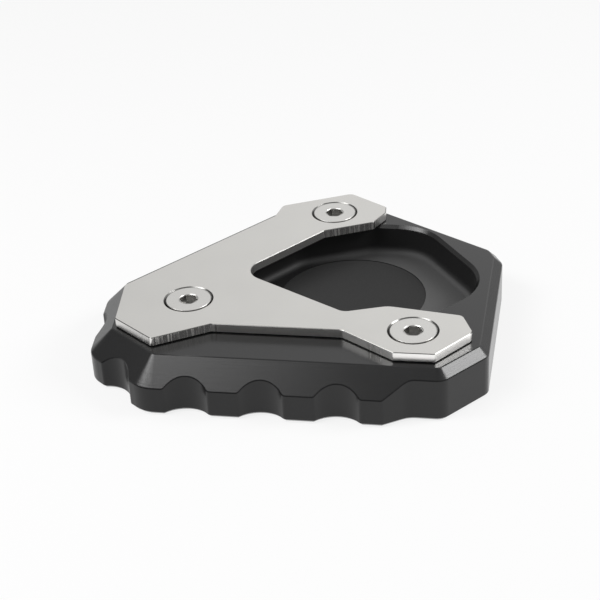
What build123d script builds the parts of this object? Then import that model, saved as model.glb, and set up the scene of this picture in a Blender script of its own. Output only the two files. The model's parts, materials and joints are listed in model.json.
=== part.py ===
"""Kickstand foot enlarger: milled base with a scalloped skirt, clamp plate over its pocket, three screws."""
import os
from math import hypot, radians, sqrt, tan

from build123d import *

# Heights
BASE_HEIGHT = 13.2
PLATE_THICKNESS = 2.5
POCKET_DEPTH = 8.0

# Corners of the base's flat top, anticlockwise from the front left, and their rounding
FRONT_LEFT = (-31.3, -23.1)
FRONT_RIGHT = (35.8, -23.1)
RIGHT_FRONT = (44.3, -13.0)
RIGHT_REAR = (45.2, 29.6)
REAR_RIGHT = (43.4, 33.2)
REAR_TIP = (4.5, 58.5)
REAR_LEFT = (-13.8, 49.9)
LEFT_REAR = (-46.1, 8.8)
LEFT_FRONT = (-44.0, -12.9)
CORNER_RADIUS = 1.5

# The slope round the top: a wide skirt at the front and left, a narrow chamfer elsewhere
SLOPE_ANGLE = 45.0
SKIRT_REACH = 5.9
PLAIN_REACH = 2.2
EDGE_BREAK = 0.18
UNDERSIDE_CHAMFER = 0.8

# Scallops that cut the skirt into teeth
SCALLOP_DEPTH = 2.4
SCALLOP_RADIUS = 7.0
SCALLOP_PITCH = 17.8
FIRST_SCALLOP = 8.5
TOOTH_ROUNDING = 1.2

# Where the skirt ends on the front and on the rear left, from its corner, and the flank that leads back in
FRONT_SKIRT_LENGTH = 54.5
REAR_SKIRT_LENGTH = 39.0
END_FLANK = 5.8
FLANK_RADIUS = 5.0

# Pocket: corners of its rim with their radii, clockwise from the rear left
POCKET_CORNER_RADIUS = 8.0
POCKET_RIM = [
    (12.1, 45.2, POCKET_CORNER_RADIUS),
    (26.4, 45.1, 14.0),
    (46.2, 16.4, 15.0),
    (31.0, -1.5, POCKET_CORNER_RADIUS),
    (11.0, -7.1, POCKET_CORNER_RADIUS),
    (-24.2, 14.0, POCKET_CORNER_RADIUS),
    (-6.7, 36.4, POCKET_CORNER_RADIUS),
]
RIM_CHAMFER = 0.8
FLOOR_FILLET = 2.0
DISC_CENTRE = (9.8, 20.9)
DISC_RADIUS = 18.7
DISC_DEPTH = 0.2

# Clamp plate: corners of its outline with their radii, clockwise from the left
PLATE_OUTLINE = [
    (-45.1, 3.7, 1.0),
    (-14.0, 43.3, 1.0),
    (-12.9, 49.4, 1.5),
    (4.8, 57.8, 2.0),
    (15.2, 50.6, 1.0),
    (15.4, 47.2, 0.5),
    (12.8, 41.6, 0.6),
    (0.5, 35.9, 0.5),
    (-17.5, 12.9, 5.5),
    (11.2, -4.4, 3.0),
    (21.5, -0.9, 6.0),
    (39.7, -3.8, 2.0),
    (42.6, -11.1, 2.0),
    (34.6, -21.3, 0.5),
    (25.0, -21.4, 0.5),
    (12.1, -12.7, 2.0),
    (-19.5, -12.7, 1.0),
    (-32.3, -20.4, 0.5),
    (-43.2, -12.2, 1.0),
]
PLATE_EDGE_BREAK = 0.15
PLATE_FOOT_BREAK = 0.35

# Countersunk screws with a hexagon socket, and where they stand
SCREW_SPOTS = [(-27.4, -1.8), (1.7, 46.4), (28.7, -11.5)]
SCREW_DIAMETER = 6.0
SCREW_LENGTH = 12.0
SCREW_TIP_CHAMFER = 0.6
HEAD_DIAMETER = 11.2
SOCKET_ACROSS_FLATS = 4.0
SOCKET_DEPTH = 2.0
SOCKET_BEVEL = 0.12

# Fits between screw, plate and base
HEAD_RING_GAP = 0.55
SEAT_CLEARANCE = 0.06
THREAD_CLEARANCE = 0.1
HOLE_RUN_OUT = 1.0
HOLE_LEAD_IN = 0.6

# Radii and lengths that follow from the sizes above
SCREW_RADIUS = SCREW_DIAMETER / 2
HEAD_RADIUS = HEAD_DIAMETER / 2
SINK_RADIUS = HEAD_RADIUS + HEAD_RING_GAP
TAPPED_RADIUS = SCREW_RADIUS + THREAD_CLEARANCE
PLATE_TOP = BASE_HEIGHT + PLATE_THICKNESS
SCALLOP_HALF_WIDTH = sqrt(SCALLOP_RADIUS**2 - (SCALLOP_RADIUS - SCALLOP_DEPTH) ** 2)


def rounded_face(corners):
    """Flat face from (x, y, radius) corners."""
    face = make_face(Polyline(*[(x, y) for x, y, _ in corners], close=True))
    for x, y, radius in corners:
        face = fillet(face.vertices().sort_by_distance((x, y))[0], radius)
    return face


def edge_length(start, end):
    """Length of one edge of the base's top."""
    return hypot(end[0] - start[0], end[1] - start[1])


def beside(start, end, distance, out):
    """Point at a distance along an edge of the base's top, moved out from it."""
    length = edge_length(start, end)
    along_x = (end[0] - start[0]) / length
    along_y = (end[1] - start[1]) / length
    return (start[0] + distance * along_x + out * along_y, start[1] + distance * along_y - out * along_x)


def top_face():
    """Flat top of the base, with rounded corners that the slope goes round as cones."""
    corners = [
        FRONT_LEFT,
        FRONT_RIGHT,
        RIGHT_FRONT,
        RIGHT_REAR,
        REAR_RIGHT,
        REAR_TIP,
        REAR_LEFT,
        LEFT_REAR,
        LEFT_FRONT,
    ]
    return rounded_face([(*corner, CORNER_RADIUS) for corner in corners])


def scallops_along(length):
    """Distances of the whole scallops that fit on a skirt of one length, each with a tooth after it."""
    distances = []
    distance = FIRST_SCALLOP
    while distance + SCALLOP_HALF_WIDTH + TOOTH_ROUNDING < length:
        distances.append(distance)
        distance += SCALLOP_PITCH
    return distances


def scallops():
    """Each scallop of the skirt: the edge it is on and its distance along that edge."""
    front = (FRONT_LEFT, FRONT_RIGHT)
    left_front = (LEFT_FRONT, FRONT_LEFT)
    left = (LEFT_REAR, LEFT_FRONT)
    rear_left = (REAR_LEFT, LEFT_REAR)
    found = [(*left_front, edge_length(*left_front) / 2), (*left, edge_length(*left) / 2)]
    found += [(*front, distance) for distance in scallops_along(FRONT_SKIRT_LENGTH)]
    rear_length = edge_length(*rear_left)
    found += [(*rear_left, rear_length - distance) for distance in scallops_along(REAR_SKIRT_LENGTH)]
    return found


def skirt_end(start, end, distance, step):
    """Flank at one end of the skirt: last tooth's corner, plain wall's corner, and a point under the top."""
    run_under_top = END_FLANK * SKIRT_REACH / (SKIRT_REACH - PLAIN_REACH)
    tooth = beside(start, end, distance, SKIRT_REACH)
    plain = beside(start, end, distance + step * END_FLANK, PLAIN_REACH)
    under_top = beside(start, end, distance + step * run_under_top, 0)
    return tooth, plain, under_top


def foot_face(top):
    """Outline of the base at its foot: plain sides, and a skirt of teeth between its two end flanks."""
    front_wall = edge_length(FRONT_LEFT, FRONT_RIGHT) - FRONT_SKIRT_LENGTH - END_FLANK
    rear_run = edge_length(REAR_LEFT, LEFT_REAR) - REAR_SKIRT_LENGTH
    rear_wall = rear_run - END_FLANK
    front_tooth, front_plain, front_under = skirt_end(FRONT_LEFT, FRONT_RIGHT, FRONT_SKIRT_LENGTH, 1)
    rear_tooth, rear_plain, rear_under = skirt_end(REAR_LEFT, LEFT_REAR, rear_run, -1)
    clear = 2 * SKIRT_REACH
    # All that lies on the skirt's side of its two end flanks
    skirt_zone = make_face(Polyline(
        beside(FRONT_LEFT, FRONT_RIGHT, FRONT_SKIRT_LENGTH, clear),
        front_tooth,
        front_under,
        REAR_TIP,
        rear_under,
        rear_tooth,
        beside(REAR_LEFT, LEFT_REAR, rear_run, clear),
        beside(REAR_LEFT, LEFT_REAR, edge_length(REAR_LEFT, LEFT_REAR), clear),
        beside(LEFT_REAR, LEFT_FRONT, 0, clear),
        beside(LEFT_FRONT, FRONT_LEFT, 0, clear),
        beside(FRONT_LEFT, FRONT_RIGHT, 0, clear),
        close=True,
    ))
    skirt = offset(top, SKIRT_REACH, kind=Kind.INTERSECTION) & skirt_zone
    foot = offset(top, PLAIN_REACH, kind=Kind.INTERSECTION) + skirt
    tooth_corners = [front_tooth, rear_tooth]
    for start, end, distance in scallops():
        centre = beside(start, end, distance, SKIRT_REACH - SCALLOP_DEPTH + SCALLOP_RADIUS)
        foot -= Pos(*centre) * Circle(SCALLOP_RADIUS)
        tooth_corners.append(beside(start, end, distance - SCALLOP_HALF_WIDTH, SKIRT_REACH))
        tooth_corners.append(beside(start, end, distance + SCALLOP_HALF_WIDTH, SKIRT_REACH))
    for corner in tooth_corners:
        foot = fillet(foot.vertices().sort_by_distance(corner)[0], TOOTH_ROUNDING)
    for corner, wall in ((front_plain, front_wall), (rear_plain, rear_wall)):
        foot = fillet(foot.vertices().sort_by_distance(corner)[0], min(FLANK_RADIUS, wall))
    return foot


def slope_edges(body):
    """Edges of the flat top, and the edges where the slope ends on the walls below it."""
    low = EDGE_BREAK
    high = BASE_HEIGHT - EDGE_BREAK
    ends = [edge for edge in body.edges() if all(low < corner.Z < high for corner in edge.vertices())]
    return body.faces().sort_by(Axis.Z)[-1].edges() + ends


def pocket():
    """Space for the stand's foot: chamfered rim, upright wall, filleted floor and a turned disc in it."""
    rim = rounded_face(POCKET_RIM)
    wall = offset(rim, -RIM_CHAMFER * tan(radians(SLOPE_ANGLE)))
    floor_height = BASE_HEIGHT - POCKET_DEPTH
    room = extrude(Pos(0, 0, floor_height) * wall, POCKET_DEPTH)
    room = fillet(room.faces().sort_by(Axis.Z)[0].edges(), FLOOR_FILLET)
    room += extrude(Pos(0, 0, BASE_HEIGHT) * rim, -RIM_CHAMFER, taper=SLOPE_ANGLE)
    disc = Pos(*DISC_CENTRE, floor_height) * Cylinder(DISC_RADIUS, 2 * DISC_DEPTH)
    return room + disc


def tapped_hole():
    """Blind hole for one screw, from the base's top down, with a lead-in that clears the screw's cone."""
    depth = SCREW_LENGTH - PLATE_THICKNESS + HOLE_RUN_OUT
    lead_in = max(HOLE_LEAD_IN, SINK_RADIUS - PLATE_THICKNESS - TAPPED_RADIUS)
    below = (Align.CENTER, Align.CENTER, Align.MAX)
    return Cylinder(TAPPED_RADIUS, depth, align=below) + Cone(
        TAPPED_RADIUS, TAPPED_RADIUS + lead_in, lead_in, align=below
    )


def base_plate():
    """Milled base: sloped all round, scalloped skirt, pocket and three tapped holes."""
    top = top_face()
    slopes = extrude(Pos(0, 0, BASE_HEIGHT) * top, -BASE_HEIGHT, taper=-SLOPE_ANGLE)
    base = slopes & extrude(foot_face(top), BASE_HEIGHT)
    base = chamfer(slope_edges(base), EDGE_BREAK)
    base = chamfer(base.faces().sort_by(Axis.Z)[0].edges(), UNDERSIDE_CHAMFER)
    base -= pocket()
    for x, y in SCREW_SPOTS:
        base -= Pos(x, y, BASE_HEIGHT) * tapped_hole()
    return base


def clamp_plate():
    """Flat plate over the pocket's edge, with three countersunk holes."""
    plate = extrude(Pos(0, 0, BASE_HEIGHT) * rounded_face(PLATE_OUTLINE), PLATE_THICKNESS)
    plate = chamfer(plate.faces().sort_by(Axis.Z)[-1].edges(), PLATE_EDGE_BREAK)
    plate = chamfer(plate.faces().sort_by(Axis.Z)[0].edges(), PLATE_FOOT_BREAK)
    sink_depth = SINK_RADIUS - TAPPED_RADIUS
    below = (Align.CENTER, Align.CENTER, Align.MAX)
    hole = Cone(TAPPED_RADIUS, SINK_RADIUS, sink_depth, align=below)
    hole += Cylinder(TAPPED_RADIUS, max(PLATE_THICKNESS, sink_depth), align=below)
    for x, y in SCREW_SPOTS:
        plate -= Pos(x, y, PLATE_TOP) * hole
    return plate


def screw():
    """One countersunk screw, its head's top at zero height."""
    land = HEAD_RING_GAP - SEAT_CLEARANCE * sqrt(2)
    cone_end = land + HEAD_RADIUS - SCREW_RADIUS
    profile = make_face(Polyline(
        (0, 0),
        (HEAD_RADIUS, 0),
        (HEAD_RADIUS, -land),
        (SCREW_RADIUS, -cone_end),
        (SCREW_RADIUS, SCREW_TIP_CHAMFER - SCREW_LENGTH),
        (SCREW_RADIUS - SCREW_TIP_CHAMFER, -SCREW_LENGTH),
        (0, -SCREW_LENGTH),
        close=True,
    ))
    body = revolve(Plane.XZ * profile, Axis.Z)
    socket_corner = SOCKET_ACROSS_FLATS / sqrt(3)
    below = (Align.CENTER, Align.CENTER, Align.MAX)
    body -= extrude(RegularPolygon(socket_corner, 6), -SOCKET_DEPTH)
    body -= Cone(socket_corner, socket_corner + SOCKET_BEVEL, SOCKET_BEVEL, align=below)
    return body


def main():
    """Build the pieces and write each one, with the origin under the middle of the base."""
    one_screw = screw()
    pieces = {
        "base_plate": base_plate(),
        "clamp_plate": clamp_plate(),
        "clamp_screws": Part() + [Pos(x, y, PLATE_TOP) * one_screw for x, y in SCREW_SPOTS],
    }
    middle = pieces["base_plate"].bounding_box().center()
    os.makedirs("parts", exist_ok=True)
    for name, piece in pieces.items():
        export_step(Pos(-middle.X, -middle.Y, 0) * piece, f"parts/{name}.step")


main()
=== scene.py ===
"""Looks of the kickstand foot enlarger: black anodised base, satin silver clamp plate, flush screws.

All lengths are in metres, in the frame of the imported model.
"""

from __future__ import annotations

import json
import logging
from abc import ABC, abstractmethod
from dataclasses import dataclass
from enum import Enum
from math import radians, tau
from typing import ClassVar

import bmesh
import bpy
from mathutils import Matrix, Vector

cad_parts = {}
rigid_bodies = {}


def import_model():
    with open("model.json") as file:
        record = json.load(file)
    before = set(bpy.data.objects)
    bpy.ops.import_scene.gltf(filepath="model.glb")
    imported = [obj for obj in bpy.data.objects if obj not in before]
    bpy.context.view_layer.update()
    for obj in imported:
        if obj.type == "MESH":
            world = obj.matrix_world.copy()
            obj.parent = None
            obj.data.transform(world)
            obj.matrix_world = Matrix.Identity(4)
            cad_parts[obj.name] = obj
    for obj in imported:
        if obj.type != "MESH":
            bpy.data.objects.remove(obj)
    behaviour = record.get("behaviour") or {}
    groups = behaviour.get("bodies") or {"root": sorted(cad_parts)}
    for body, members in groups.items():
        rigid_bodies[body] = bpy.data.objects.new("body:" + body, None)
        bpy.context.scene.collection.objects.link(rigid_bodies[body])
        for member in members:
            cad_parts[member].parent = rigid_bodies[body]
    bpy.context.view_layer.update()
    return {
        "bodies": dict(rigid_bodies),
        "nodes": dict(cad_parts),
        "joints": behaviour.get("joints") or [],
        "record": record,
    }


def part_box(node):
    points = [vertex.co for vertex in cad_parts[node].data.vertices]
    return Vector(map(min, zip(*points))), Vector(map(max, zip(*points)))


LOG = logging.getLogger("foot_enlarger")
MILLIMETRE = 0.001
MATRIX_SIZE = 4
# An area lamp of this power for each square metre has a radiance of one.
LAMP_POWER = 4.0
# A camera that isn't turned looks straight down, and this turn makes it look level.
DOWN_TO_LEVEL = radians(90)

Colour = tuple[float, float, float, float]
Point = tuple[float, float, float]
Spot = tuple[float, float]
Range = tuple[float, float]
Socket = bpy.types.NodeSocket
Value = float | tuple[float, ...] | Socket
Inputs = dict[str | int, Value]

WHITE: Colour = (1.0, 1.0, 1.0, 1.0)


class Facing(Enum):
    """Which way a surface faces, as the range of its normal's height."""

    WALL = (-0.35, 0.35)
    SLOPE = (0.35, 0.9)
    TOP = (0.9, 1.1)


class Graph:
    """Adds and joins the nodes of one shader node tree."""

    def __init__(self, tree: bpy.types.NodeTree) -> None:
        """Take the node tree to work on."""
        self.tree = tree

    def node(self, kind: str, inputs: Inputs | None = None, **settings: object) -> bpy.types.Node:
        """Add one node.

        Args:
            kind: The node's type, without its ShaderNode prefix.
            inputs: Values or sockets for its inputs, by name or number.
            settings: Properties of the node itself.

        Returns:
            The new node.
        """
        node = self.tree.nodes.new(f"ShaderNode{kind}")
        for name, value in settings.items():
            setattr(node, name, value)
        for key, value in (inputs or {}).items():
            self.feed(node.inputs[key], value)
        return node

    def feed(self, socket: Socket, value: Value) -> None:
        """Set an input, or link it where the value is a socket.

        Args:
            socket: The input.
            value: A number, a colour, a vector or another node's output.
        """
        if isinstance(value, bpy.types.NodeSocket):
            self.tree.links.new(value, socket)
        else:
            socket.default_value = value

    def math(self, operation: str, *values: Value) -> Socket:
        """Join one to three numbers by an arithmetic operation."""
        return self.node("Math", dict(enumerate(values)), operation=operation).outputs["Value"]

    def vector(self, operation: str, *values: Value) -> Socket:
        """Join vectors by an operation that gives a vector."""
        return self.node("VectorMath", dict(enumerate(values)), operation=operation).outputs["Vector"]

    def dot(self, *vectors: Value) -> Socket:
        """Join two vectors to their dot product."""
        inputs = dict(enumerate(vectors))
        return self.node("VectorMath", inputs, operation="DOT_PRODUCT").outputs["Value"]

    def parts(self, vector: Value) -> bpy.types.NodeOutputs:
        """Take a vector apart into X, Y and Z."""
        return self.node("SeparateXYZ", {"Vector": vector}).outputs

    def between(self, value: Value, low: float, high: float) -> Socket:
        """Mask of where a value lies in a range.

        Args:
            value: The value to test.
            low: The lower end of the range.
            high: The upper end of the range.

        Returns:
            A socket that is 1 inside the range and 0 outside it.
        """
        above = self.math("GREATER_THAN", value, low)
        below = self.math("LESS_THAN", value, high)
        return self.math("MULTIPLY", above, below)

    def fade(self, value: Value, start: float, end: float) -> Socket:
        """Mask that goes smoothly from 1 to 0 as a value goes from start to end."""
        ends = {"Value": value, "From Min": start, "From Max": end, "To Min": 1.0, "To Max": 0.0}
        return self.node("MapRange", ends, interpolation_type="SMOOTHSTEP").outputs["Result"]

    def share(self, value: Value) -> Socket:
        """Bring a value between -1 and 1 to a share from 0 to 1."""
        ends = {"Value": value, "From Min": -1.0, "From Max": 1.0}
        return self.node("MapRange", ends).outputs["Result"]

    def spread(self, share: Value, low: float, high: float) -> Socket:
        """Stretch a share from 0 to 1 over the range from low to high."""
        return self.math("MULTIPLY_ADD", share, high - low, low)

    def mix(self, kind: str, share: Value, first: Value, second: Value) -> Socket:
        """Mix two values of one kind by the second one's share."""
        inputs = {"Factor": share, "A": first, "B": second}
        return self.node("Mix", inputs, data_type=kind).outputs["Result"]

    def blend(self, share: Value, first: Value, second: Value) -> Socket:
        """Mix two numbers."""
        return self.mix("FLOAT", share, first, second)

    def tint(self, share: Value, first: Value, second: Value) -> Socket:
        """Mix two colours."""
        return self.mix("RGBA", share, first, second)

    def noise(self, point: Value, size: Value, detail: float) -> Socket:
        """Noise from 0 to 1 with features of one size."""
        scale = self.math("DIVIDE", 1.0, size)
        return self.node("TexNoise", {"Vector": point, "Scale": scale, "Detail": detail}).outputs["Fac"]

    def relief(self, height: Value, depth: float, under: Socket | None = None) -> Socket:
        """Tilt the surface by a height map.

        Args:
            height: The map of heights.
            depth: How far a height of 1 stands out.
            under: The normal that another relief has tilted already.

        Returns:
            The tilted normal's socket.
        """
        bump = self.node("Bump", {"Height": height, "Distance": depth})
        if under is not None:
            self.feed(bump.inputs["Normal"], under)
        return bump.outputs["Normal"]

    def place(self) -> Socket:
        """The point of the object that is being shaded."""
        return self.node("TexCoord").outputs["Object"]

    def height(self) -> Socket:
        """How high that point lies."""
        return self.parts(self.place())["Z"]

    def normal(self) -> Socket:
        """The direction in which the surface faces there."""
        return self.node("NewGeometry").outputs["Normal"]

    def facing(self, side: Facing) -> Socket:
        """Mask of the surfaces that face one way."""
        return self.between(self.upward(), *side.value)

    def upward(self) -> Socket:
        """How far the surface faces up, from -1 to 1."""
        return self.parts(self.normal())["Z"]


class Effect(ABC):
    """A surface effect that several finishes share, kept as one shader node group."""

    name: ClassVar[str]
    inputs: ClassVar[dict[str, float]]
    outputs: ClassVar[tuple[str, ...]]

    def __init__(self) -> None:
        """Make the node group with its named sockets, and fill it."""
        self.tree = bpy.data.node_groups.new(self.name, "ShaderNodeTree")
        for label, value in self.inputs.items():
            socket = self.tree.interface.new_socket(label, in_out="INPUT", socket_type="NodeSocketFloat")
            socket.default_value = value
        for label in self.outputs:
            self.tree.interface.new_socket(label, in_out="OUTPUT", socket_type="NodeSocketFloat")
        graph = Graph(self.tree)
        given = self.tree.nodes.new("NodeGroupInput").outputs
        result = self.tree.nodes.new("NodeGroupOutput").inputs
        for label, socket in self.fill(graph, given).items():
            graph.feed(result[label], socket)

    @abstractmethod
    def fill(self, graph: Graph, given: bpy.types.NodeOutputs) -> dict[str, Socket]:
        """Wire the group from its given inputs to a socket for each of its outputs."""

    def use(self, graph: Graph, **values: Value) -> bpy.types.NodeOutputs:
        """Place the effect in a material.

        Args:
            graph: The material's nodes.
            values: Values or sockets for the group's inputs, with _ for a blank.

        Returns:
            The group's outputs.
        """
        node = graph.node("Group", node_tree=self.tree)
        for label, value in values.items():
            graph.feed(node.inputs[label.replace("_", " ")], value)
        return node.outputs


class SatinGrain(Effect):
    """Fine even grain of a blasted and anodised surface, and the wide clouds that handling leaves."""

    name = "satin_grain"
    inputs = {"Fine size": 0.3 * MILLIMETRE, "Cloud size": 12 * MILLIMETRE}
    outputs = ("Grain", "Cloud")
    detail = 2.0

    def fill(self, graph: Graph, given: bpy.types.NodeOutputs) -> dict[str, Socket]:
        """Lay a fine noise for the grain and a wide one for the clouds.

        Args:
            graph: The group's nodes.
            given: The group's inputs.

        Returns:
            The grain and the clouds, both from 0 to 1.
        """
        place = graph.place()
        grain = graph.noise(place, given["Fine size"], self.detail)
        cloud = graph.noise(place, given["Cloud size"], self.detail)
        return {"Grain": grain, "Cloud": cloud}


class CutterStreaks(Effect):
    """Fine streaks that a milling cutter leaves, upright on a wall or level on a slope.

    The noise runs at its full rate where a share is 1, and is drawn out into streaks where it is small.
    """

    drawn_out = 0.03
    name = "cutter_streaks"
    inputs = {"Spacing": 0.5 * MILLIMETRE, "Level share": 1.0, "Upright share": drawn_out}
    outputs = ("Streaks",)
    detail = 3.0

    def fill(self, graph: Graph, given: bpy.types.NodeOutputs) -> dict[str, Socket]:
        """Draw a noise out along the height or along the level.

        Args:
            graph: The group's nodes.
            given: The group's inputs.

        Returns:
            The streaks, from 0 to 1.
        """
        shares = {"X": given["Level share"], "Y": given["Level share"], "Z": given["Upright share"]}
        rates = graph.node("CombineXYZ", shares).outputs["Vector"]
        point = graph.vector("MULTIPLY", graph.place(), rates)
        return {"Streaks": graph.noise(point, given["Spacing"], self.detail)}


class TurnedRings(Effect):
    """Fine rings round one upright axis, and the distance from that axis."""

    name = "turned_rings"
    inputs = {"Centre X": 0.0, "Centre Y": 0.0, "Spacing": 0.4 * MILLIMETRE}
    outputs = ("Rings", "Distance")

    def fill(self, graph: Graph, given: bpy.types.NodeOutputs) -> dict[str, Socket]:
        """Turn the distance from the axis into waves.

        Args:
            graph: The group's nodes.
            given: The group's inputs.

        Returns:
            The rings, from 0 to 1, and the distance.
        """
        point = graph.parts(graph.place())
        across = graph.math("SUBTRACT", point["X"], given["Centre X"])
        along = graph.math("SUBTRACT", point["Y"], given["Centre Y"])
        squares = graph.math("MULTIPLY_ADD", across, across, graph.math("MULTIPLY", along, along))
        distance = graph.math("SQRT", squares)
        turns = graph.math("DIVIDE", distance, given["Spacing"])
        wave = graph.math("SINE", graph.math("MULTIPLY", turns, tau))
        return {"Rings": graph.share(wave), "Distance": distance}


@dataclass(frozen=True)
class Effects:
    """The effects that the finishes share."""

    grain: SatinGrain
    streaks: CutterStreaks
    rings: TurnedRings


def new_material(name: str) -> tuple[bpy.types.Material, Graph, bpy.types.Node]:
    """Make an empty material with one Principled shader.

    Args:
        name: The material's name.

    Returns:
        The material, its nodes and its shader node.
    """
    material = bpy.data.materials.new(name)
    material.use_nodes = True
    graph = Graph(material.node_tree)
    graph.tree.nodes.clear()
    shader = graph.node("BsdfPrincipled")
    graph.node("OutputMaterial", {"Surface": shader.outputs["BSDF"]})
    return material, graph, shader


@dataclass(frozen=True)
class BlackAnodised:
    """Satin black anodised aluminium of the base, with painted light that makes the pocket's floor paler
    towards its right, and an etched disc on that floor.

    The room is a point in the middle of the pocket, at the height where its rim begins.
    """

    effects: Effects
    room: Point
    disc_level: float
    painted_light_spot: Spot
    painted_light_reach: Range
    dark: Colour = (0.0045, 0.0045, 0.0047, 1.0)
    light: Colour = (0.0070, 0.0070, 0.0073, 1.0)
    # Paler tone of the painted light on the pocket's floor.
    painted_light_tone: Colour = (0.078, 0.078, 0.078, 1.0)
    disc_dark: Colour = (0.016, 0.016, 0.016, 1.0)
    disc_light: Colour = (0.03, 0.03, 0.03, 1.0)
    smooth: float = 0.19
    rough: float = 0.25
    pocket_rough: float = 0.6
    disc_rough: float = 0.95
    refractive_index: float = 1.45
    grain_relief: float = 0.006 * MILLIMETRE
    streak_relief: float = 0.006 * MILLIMETRE
    wall_spacing: float = 0.9 * MILLIMETRE
    slope_spacing: float = 0.25 * MILLIMETRE
    slope_share: float = 1.4
    level_margin: float = 0.1 * MILLIMETRE
    floor_turn: Range = (1.0, 0.55)

    def material(self) -> bpy.types.Material:
        """Make the material.

        Returns:
            The base's material.
        """
        material, graph, shader = new_material("black_anodised")
        grain = self.effects.grain.use(graph)
        inside = self.pocket_mask(graph)
        disc = self.disc_mask(graph)
        # Painted light: the pocket's floor is painted paler towards its right, where light falls on it.
        painted_light_share = graph.math("MULTIPLY", inside, self.paint_floor_light(graph))
        tone = graph.tint(grain["Cloud"], self.dark, self.light)
        tone = graph.tint(painted_light_share, tone, self.painted_light_tone)
        etched = graph.tint(grain["Grain"], self.disc_dark, self.disc_light)
        graph.feed(shader.inputs["Base Color"], graph.tint(disc, tone, etched))
        satin = graph.spread(grain["Cloud"], self.smooth, self.rough)
        satin = graph.blend(inside, satin, self.pocket_rough)
        graph.feed(shader.inputs["Roughness"], graph.blend(disc, satin, self.disc_rough))
        fine = graph.relief(grain["Grain"], self.grain_relief)
        marked = graph.relief(self.cutter_marks(graph), self.streak_relief, under=fine)
        graph.feed(shader.inputs["Normal"], marked)
        shader.inputs["IOR"].default_value = self.refractive_index
        return material

    def cutter_marks(self, graph: Graph) -> Socket:
        """Streaks of the cutter, upright on the walls and level on the slopes.

        Args:
            graph: The material's nodes.

        Returns:
            The streaks' height.
        """
        streaks = self.effects.streaks
        upright = streaks.use(graph, Spacing=self.wall_spacing)["Streaks"]
        along = {"Level_share": streaks.drawn_out, "Upright_share": 1.0}
        level = streaks.use(graph, Spacing=self.slope_spacing, **along)["Streaks"]
        walls = graph.math("MULTIPLY", upright, graph.facing(Facing.WALL))
        slopes = graph.math("MULTIPLY", graph.facing(Facing.SLOPE), self.slope_share)
        return graph.math("MULTIPLY_ADD", level, slopes, walls)

    def pocket_mask(self, graph: Graph) -> Socket:
        """Mask of the surfaces that enclose the pocket's room, below its rim.

        Args:
            graph: The material's nodes.

        Returns:
            A socket that is 1 there.
        """
        _, _, rim = self.room
        below = graph.math("LESS_THAN", graph.height(), rim)
        inwards = graph.vector("SUBTRACT", self.room, graph.place())
        turned = graph.math("GREATER_THAN", graph.dot(graph.normal(), inwards), 0.0)
        return graph.math("MULTIPLY", below, turned)

    def paint_floor_light(self, graph: Graph) -> Socket:
        """Painted light: how far the pocket's floor is painted paler towards its right, where light
        falls on it.

        Args:
            graph: The material's nodes.

        Returns:
            A socket that goes from 1 where the painted light is strongest to 0.
        """
        x, y = self.painted_light_spot
        distance = self.effects.rings.use(graph, Centre_X=x, Centre_Y=y)["Distance"]
        level = graph.fade(graph.upward(), *self.floor_turn)
        return graph.math("MULTIPLY", level, graph.fade(distance, *self.painted_light_reach))

    def disc_mask(self, graph: Graph) -> Socket:
        """Mask of the round recess on the pocket's floor."""
        lowest = graph.math("LESS_THAN", graph.height(), self.disc_level + self.level_margin)
        return graph.math("MULTIPLY", lowest, graph.facing(Facing.TOP))


@dataclass(frozen=True)
class Chatter:
    """A stretch of milled wall that shows chatter: its middle, and how far it reaches from there."""

    middle: Spot
    reach: float


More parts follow.
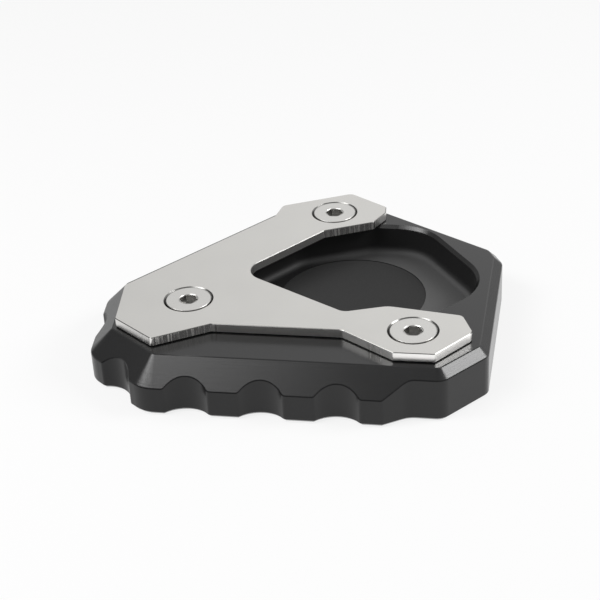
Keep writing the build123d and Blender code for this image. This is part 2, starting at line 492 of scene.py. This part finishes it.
@dataclass(frozen=True)
class SatinSilver:
    """Satin silver aluminium of the clamp plate, with broken edges painted dark as shade, and milled
    walls.
    """

    effects: Effects
    chatter: tuple[Chatter, ...]
    dark: Colour = (0.553, 0.545, 0.525, 1.0)
    light: Colour = (0.598, 0.589, 0.568, 1.0)
    wall_tone: Colour = (0.90, 0.89, 0.87, 1.0)
    chatter_tone: Colour = (0.70, 0.69, 0.67, 1.0)
    # Painted shade: the broken edges are painted dark so that they catch no glint.
    edge_shade_tone: Colour = (0.14, 0.138, 0.134, 1.0)
    smooth: float = 0.20
    rough: float = 0.27
    edge_rough: float = 0.2
    wall_rough: float = 0.30
    chatter_smooth: float = 0.10
    chatter_rough: float = 0.5
    chatter_spacing: float = 0.45 * MILLIMETRE
    chatter_cut: Range = (0.60, 0.42)
    chatter_core: float = 0.5
    chatter_relief: float = 0.05 * MILLIMETRE
    plain_share: float = 0.12

    def material(self) -> bpy.types.Material:
        """Make the material.

        Returns:
            The plate's material.
        """
        material, graph, shader = new_material("satin_silver")
        grain = self.effects.grain.use(graph)
        walls = graph.facing(Facing.WALL)
        edges = graph.facing(Facing.SLOPE)
        zone = self.chatter_zone(graph)
        fine = self.effects.streaks.use(graph, Spacing=self.chatter_spacing)["Streaks"]
        torn = graph.fade(fine, *self.chatter_cut)
        tone = graph.tint(grain["Cloud"], self.dark, self.light)
        # Painted shade: a dark tone on the broken edges.
        tone = graph.tint(edges, tone, self.edge_shade_tone)
        wall_tone = graph.tint(graph.math("MULTIPLY", torn, zone), self.wall_tone, self.chatter_tone)
        graph.feed(shader.inputs["Base Color"], graph.tint(walls, tone, wall_tone))
        satin = graph.spread(grain["Grain"], self.smooth, self.rough)
        satin = graph.blend(edges, satin, self.edge_rough)
        chatter_rough = graph.blend(torn, self.chatter_smooth, self.chatter_rough)
        wall_rough = graph.blend(zone, self.wall_rough, chatter_rough)
        graph.feed(shader.inputs["Roughness"], graph.blend(walls, satin, wall_rough))
        strength = graph.math("MAXIMUM", zone, self.plain_share)
        marks = graph.math("MULTIPLY", graph.math("MULTIPLY", fine, strength), walls)
        graph.feed(shader.inputs["Normal"], graph.relief(marks, self.chatter_relief))
        shader.inputs["Metallic"].default_value = 1.0
        return material

    def chatter_zone(self, graph: Graph) -> Socket:
        """Mask of the stretches where the walls chatter.

        Args:
            graph: The material's nodes.

        Returns:
            A socket that is 1 in the core of each stretch and fades to 0 at its reach.
        """
        zone = 0.0
        for stretch in self.chatter:
            x, y = stretch.middle
            distance = self.effects.rings.use(graph, Centre_X=x, Centre_Y=y)["Distance"]
            near = graph.fade(distance, stretch.reach * self.chatter_core, stretch.reach)
            zone = graph.math("MAXIMUM", zone, near)
        return zone


@dataclass(frozen=True)
class ScrewSteel:
    """Bright steel of the screws, with turned heads, broken rims and dull sockets."""

    effects: Effects
    spots: tuple[Spot, ...]
    head_level: float
    head_rim: Range
    socket_radius: float
    dark: Colour = (0.56, 0.553, 0.535, 1.0)
    light: Colour = (0.61, 0.603, 0.583, 1.0)
    socket_tone: Colour = (0.38, 0.376, 0.365, 1.0)
    rim_tone: Colour = (0.5, 0.493, 0.478, 1.0)
    smooth: float = 0.24
    rough: float = 0.34
    ring_spacing: float = 0.35 * MILLIMETRE
    ring_reach: float = 7.35 * MILLIMETRE
    ring_relief: float = 0.004 * MILLIMETRE

    def material(self) -> bpy.types.Material:
        """Make the material.

        Returns:
            The screws' material.
        """
        material, graph, shader = new_material("screw_silver")
        grain = self.effects.grain.use(graph)
        rings = 0.0
        raised = 0.0
        rim = 0.0
        socket = 0.0
        for x, y in self.spots:
            turned = self.effects.rings.use(graph, Centre_X=x, Centre_Y=y, Spacing=self.ring_spacing)
            distance = turned["Distance"]
            near = graph.math("LESS_THAN", distance, self.ring_reach)
            rings = graph.math("MULTIPLY_ADD", turned["Rings"], near, rings)
            raised = graph.math("ADD", raised, graph.fade(distance, *self.head_rim))
            rim = graph.math("ADD", rim, graph.between(distance, *self.head_rim))
            socket = graph.math("ADD", socket, graph.math("LESS_THAN", distance, self.socket_radius))
        sunk = graph.math("LESS_THAN", graph.height(), self.head_level)
        socket = graph.math("MULTIPLY", socket, sunk)
        tone = graph.tint(grain["Cloud"], self.dark, self.light)
        tone = graph.tint(rim, tone, self.rim_tone)
        graph.feed(shader.inputs["Base Color"], graph.tint(socket, tone, self.socket_tone))
        graph.feed(shader.inputs["Roughness"], graph.spread(grain["Grain"], self.smooth, self.rough))
        grooves = graph.math("MULTIPLY", rings, graph.facing(Facing.TOP))
        turned_face = graph.relief(grooves, self.ring_relief)
        inner, outer = self.head_rim
        graph.feed(shader.inputs["Normal"], graph.relief(raised, outer - inner, under=turned_face))
        shader.inputs["Metallic"].default_value = 1.0
        return material


def cover(frame: dict, node: str, material: bpy.types.Material) -> None:
    """Put a material on all of a node's own slots.

    Args:
        frame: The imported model.
        node: The node's name.
        material: The material.
    """
    for slot in frame["nodes"][node].material_slots:
        slot.material = material
    LOG.info("dressed %s in %s", node, material.name)


@dataclass
class BasePlate:
    """Milled base with its scalloped skirt and its pocket."""

    node: str = "base_plate"
    pocket_depth: float = 8.0 * MILLIMETRE
    pocket_centre: Spot = (0.012078, 0.005156)
    rim_chamfer: float = 0.8 * MILLIMETRE
    disc_depth: float = 0.2 * MILLIMETRE
    # Middle and reach of the painted light on the pocket's floor.
    painted_light_spot: Spot = (0.036, 0.010)
    painted_light_reach: Range = (12.0 * MILLIMETRE, 40.0 * MILLIMETRE)

    def dress(self, frame: dict, effects: Effects) -> None:
        """Anodise the base.

        Args:
            frame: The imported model.
            effects: The shared surface effects.
        """
        _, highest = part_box(self.node)
        finish = BlackAnodised(
            effects,
            room=(*self.pocket_centre, highest.z - self.rim_chamfer),
            disc_level=highest.z - self.pocket_depth - self.disc_depth,
            painted_light_spot=self.painted_light_spot,
            painted_light_reach=self.painted_light_reach,
        )
        cover(frame, self.node, finish.material())


@dataclass
class ClampPlate:
    """Flat clamp plate, and where its milled walls show chatter."""

    node: str = "clamp_plate"
    chatter: tuple[Chatter, ...] = (
        Chatter((-0.0236, -0.0323), reach=11.0 * MILLIMETRE),
        Chatter((0.0225, -0.0342), reach=2.5 * MILLIMETRE),
        Chatter((0.0100, 0.0235), reach=9.0 * MILLIMETRE),
    )

    def dress(self, frame: dict, effects: Effects) -> None:
        """Give the plate its satin silver."""
        cover(frame, self.node, SatinSilver(effects, self.chatter).material())


@dataclass
class ClampScrews:
    """Three flush countersunk screws with a hexagon socket."""

    node: str = "clamp_screws"
    spots: tuple[Spot, ...] = (
        (-0.025122, -0.017544),
        (0.003978, 0.030656),
        (0.030978, -0.027244),
    )
    head_rim: Range = (5.4 * MILLIMETRE, 5.6 * MILLIMETRE)
    socket_radius: float = 2.45 * MILLIMETRE
    lip: float = 0.05 * MILLIMETRE

    def dress(self, frame: dict, effects: Effects) -> None:
        """Give the screws bright heads and dull sockets.

        Args:
            frame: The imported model.
            effects: The shared surface effects.
        """
        _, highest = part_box(self.node)
        finish = ScrewSteel(
            effects,
            spots=self.spots,
            head_level=highest.z - self.lip,
            head_rim=self.head_rim,
            socket_radius=self.socket_radius,
        )
        cover(frame, self.node, finish.material())


def turn(angle: float, axis: str) -> Matrix:
    """Turn about one of the three axes."""
    return Matrix.Rotation(angle, MATRIX_SIZE, axis)


@dataclass(frozen=True)
class Softbox:
    """One oblong studio lamp that faces the object.

    Each ramp gives a radiance at the lamp's two ends, and the lowest ramp counts at each point between.
    """

    name: str
    towards: Point
    size: tuple[float, float]
    ramps: tuple[Range, ...]
    roll: float
    distance: float = 0.6

    def build(self) -> None:
        """Hang the lamp."""
        direction = Vector(self.towards).normalized()
        aim = direction.to_track_quat("Z", "Y").to_matrix().to_4x4() @ turn(self.roll, "Z")
        holder = bpy.data.objects.new(self.name, self.lamp())
        holder.matrix_world = Matrix.Translation(direction * self.distance) @ aim
        bpy.context.scene.collection.objects.link(holder)

    def lamp(self) -> bpy.types.Light:
        """Make the light itself.

        Returns:
            An area light with the ramps' radiance along its length.
        """
        lamp = bpy.data.lights.new(self.name, "AREA")
        lamp.shape = "RECTANGLE"
        lamp.size, lamp.size_y = self.size
        lamp.energy = LAMP_POWER * lamp.size * lamp.size_y
        lamp.use_nodes = True
        graph = Graph(lamp.node_tree)
        graph.tree.nodes.clear()
        along = graph.parts(graph.node("NewGeometry").outputs["Parametric"])["X"]
        first, *others = self.ramps
        radiance = graph.spread(along, *first)
        for ramp in others:
            radiance = graph.math("MINIMUM", radiance, graph.spread(along, *ramp))
        glow = graph.node("Emission", {"Strength": radiance})
        graph.node("OutputLight", {"Surface": glow.outputs["Emission"]})
        return lamp


@dataclass(frozen=True)
class Camera:
    """Camera at the photograph's viewing angle, with its lens in millimetres."""

    place: Point = (0.062529, -0.322865, 0.20079)
    azimuth: float = radians(11.1)
    elevation: float = radians(30.6)
    roll: float = radians(-3.22)
    lens: float = 89.886

    def build(self) -> None:
        """Set the camera up and make it the scene's own."""
        data = bpy.data.cameras.new("camera")
        data.lens = self.lens
        camera = bpy.data.objects.new("camera", data)
        aim = turn(self.azimuth, "Z") @ turn(DOWN_TO_LEVEL - self.elevation, "X") @ turn(self.roll, "Z")
        camera.matrix_world = Matrix.Translation(self.place) @ aim
        bpy.context.scene.collection.objects.link(camera)
        bpy.context.scene.camera = camera


@dataclass(frozen=True)
class Studio:
    """White floor, white room and two softboxes.

    The camera sees the floor and the room white. In mirror images the floor is lighter at its right and
    front, and the room is lighter at its right and back and darker at the horizon.
    """

    floor_reach: float = 4.0
    floor_colour: Colour = (0.85, 0.85, 0.85, 1.0)
    floor_glow: float = 0.82
    floor_heading: Point = (0.8, -0.6, 0.0)
    floor_run: Range = (-0.1, 0.1)
    floor_slant: Range = (1.2, 0.6)
    room_light: float = 0.3
    room_depth: Range = (0.38, 1.1)
    room_slant: Range = (0.5, 1.7)
    horizon: Range = (0.05, 0.42)
    horizon_light: float = 0.4
    boxes: tuple[Softbox, ...] = (
        Softbox(
            "right_softbox",
            towards=(0.79, 0.11, 0.60),
            size=(0.27, 0.16),
            ramps=((10.5, 10.5),),
            roll=radians(-32),
        ),
        Softbox(
            "left_softbox",
            towards=(-0.51, -0.352, 0.784),
            size=(0.534, 0.2),
            ramps=((1.0, 27.0), (13.5, 1.0)),
            roll=radians(28),
        ),
    )

    def build(self) -> None:
        """Lay the floor, light the room and hang the softboxes."""
        self.build_floor()
        self.build_room()
        for box in self.boxes:
            box.build()
        bpy.context.scene.view_settings.view_transform = "Standard"
        LOG.info("set up the studio with %d softboxes", len(self.boxes))

    def build_floor(self) -> None:
        """Lay the floor, which isn't part of the object."""
        mesh = bpy.data.meshes.new("floor")
        shape = bmesh.new()
        bmesh.ops.create_grid(shape, x_segments=1, y_segments=1, size=self.floor_reach)
        shape.to_mesh(mesh)
        shape.free()
        mesh.materials.append(self.floor_material())
        floor = bpy.data.objects.new("floor", mesh)
        bpy.context.scene.collection.objects.link(floor)

    def floor_material(self) -> bpy.types.Material:
        """Make a white that keeps a faint shadow.

        Returns:
            The floor's material.
        """
        material, graph, shader = new_material("floor")
        shader.inputs["Base Color"].default_value = self.floor_colour
        shader.inputs["Roughness"].default_value = 1.0
        rays = graph.node("LightPath").outputs
        mirrors = graph.math("MAXIMUM", rays["Is Glossy Ray"], rays["Is Transmission Ray"])
        seen = graph.math("MAXIMUM", rays["Is Camera Ray"], mirrors)
        share = graph.math("MULTIPLY", seen, self.floor_glow)
        way = graph.dot(graph.place(), self.floor_heading)
        mirrored = graph.spread(graph.fade(way, *self.floor_run), *self.floor_slant)
        strength = graph.blend(rays["Is Camera Ray"], mirrored, 1.0)
        glow = graph.node("Emission", {"Color": WHITE, "Strength": strength})
        layers = (share, shader.outputs["BSDF"], glow.outputs["Emission"])
        mixed = graph.node("MixShader", dict(enumerate(layers)))
        output = graph.tree.nodes["Material Output"]
        graph.feed(output.inputs["Surface"], mixed.outputs["Shader"])
        return material

    def build_room(self) -> None:
        """Surround the object with a white room that lights it softly."""
        world = bpy.data.worlds.new("room")
        world.use_nodes = True
        graph = Graph(world.node_tree)
        graph.tree.nodes.clear()
        rays = graph.node("LightPath").outputs
        direction = graph.parts(graph.node("TexCoord").outputs["Generated"])
        mirrored = graph.spread(graph.share(direction["Y"]), *self.room_depth)
        dusk = graph.fade(direction["Z"], *self.horizon)
        mirrored = graph.math("MULTIPLY", mirrored, graph.spread(dusk, 1.0, self.horizon_light))
        aside = graph.spread(graph.share(direction["X"]), *self.room_slant)
        mirrored = graph.math("MULTIPLY", mirrored, aside)
        mirrors = graph.math("MAXIMUM", rays["Is Glossy Ray"], rays["Is Transmission Ray"])
        strength = graph.blend(mirrors, self.room_light, mirrored)
        strength = graph.blend(rays["Is Camera Ray"], strength, 1.0)
        light = graph.node("Background", {"Color": WHITE, "Strength": strength})
        graph.node("OutputWorld", {"Surface": light.outputs["Background"]})
        bpy.context.scene.world = world


def main() -> None:
    """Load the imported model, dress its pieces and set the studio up."""
    logging.basicConfig(level=logging.INFO, format="%(message)s")
    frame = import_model()
    effects = Effects(SatinGrain(), CutterStreaks(), TurnedRings())
    for piece in (BasePlate(), ClampPlate(), ClampScrews()):
        piece.dress(frame, effects)
    Studio().build()
    Camera().build()


if __name__ == "__main__":
    main()
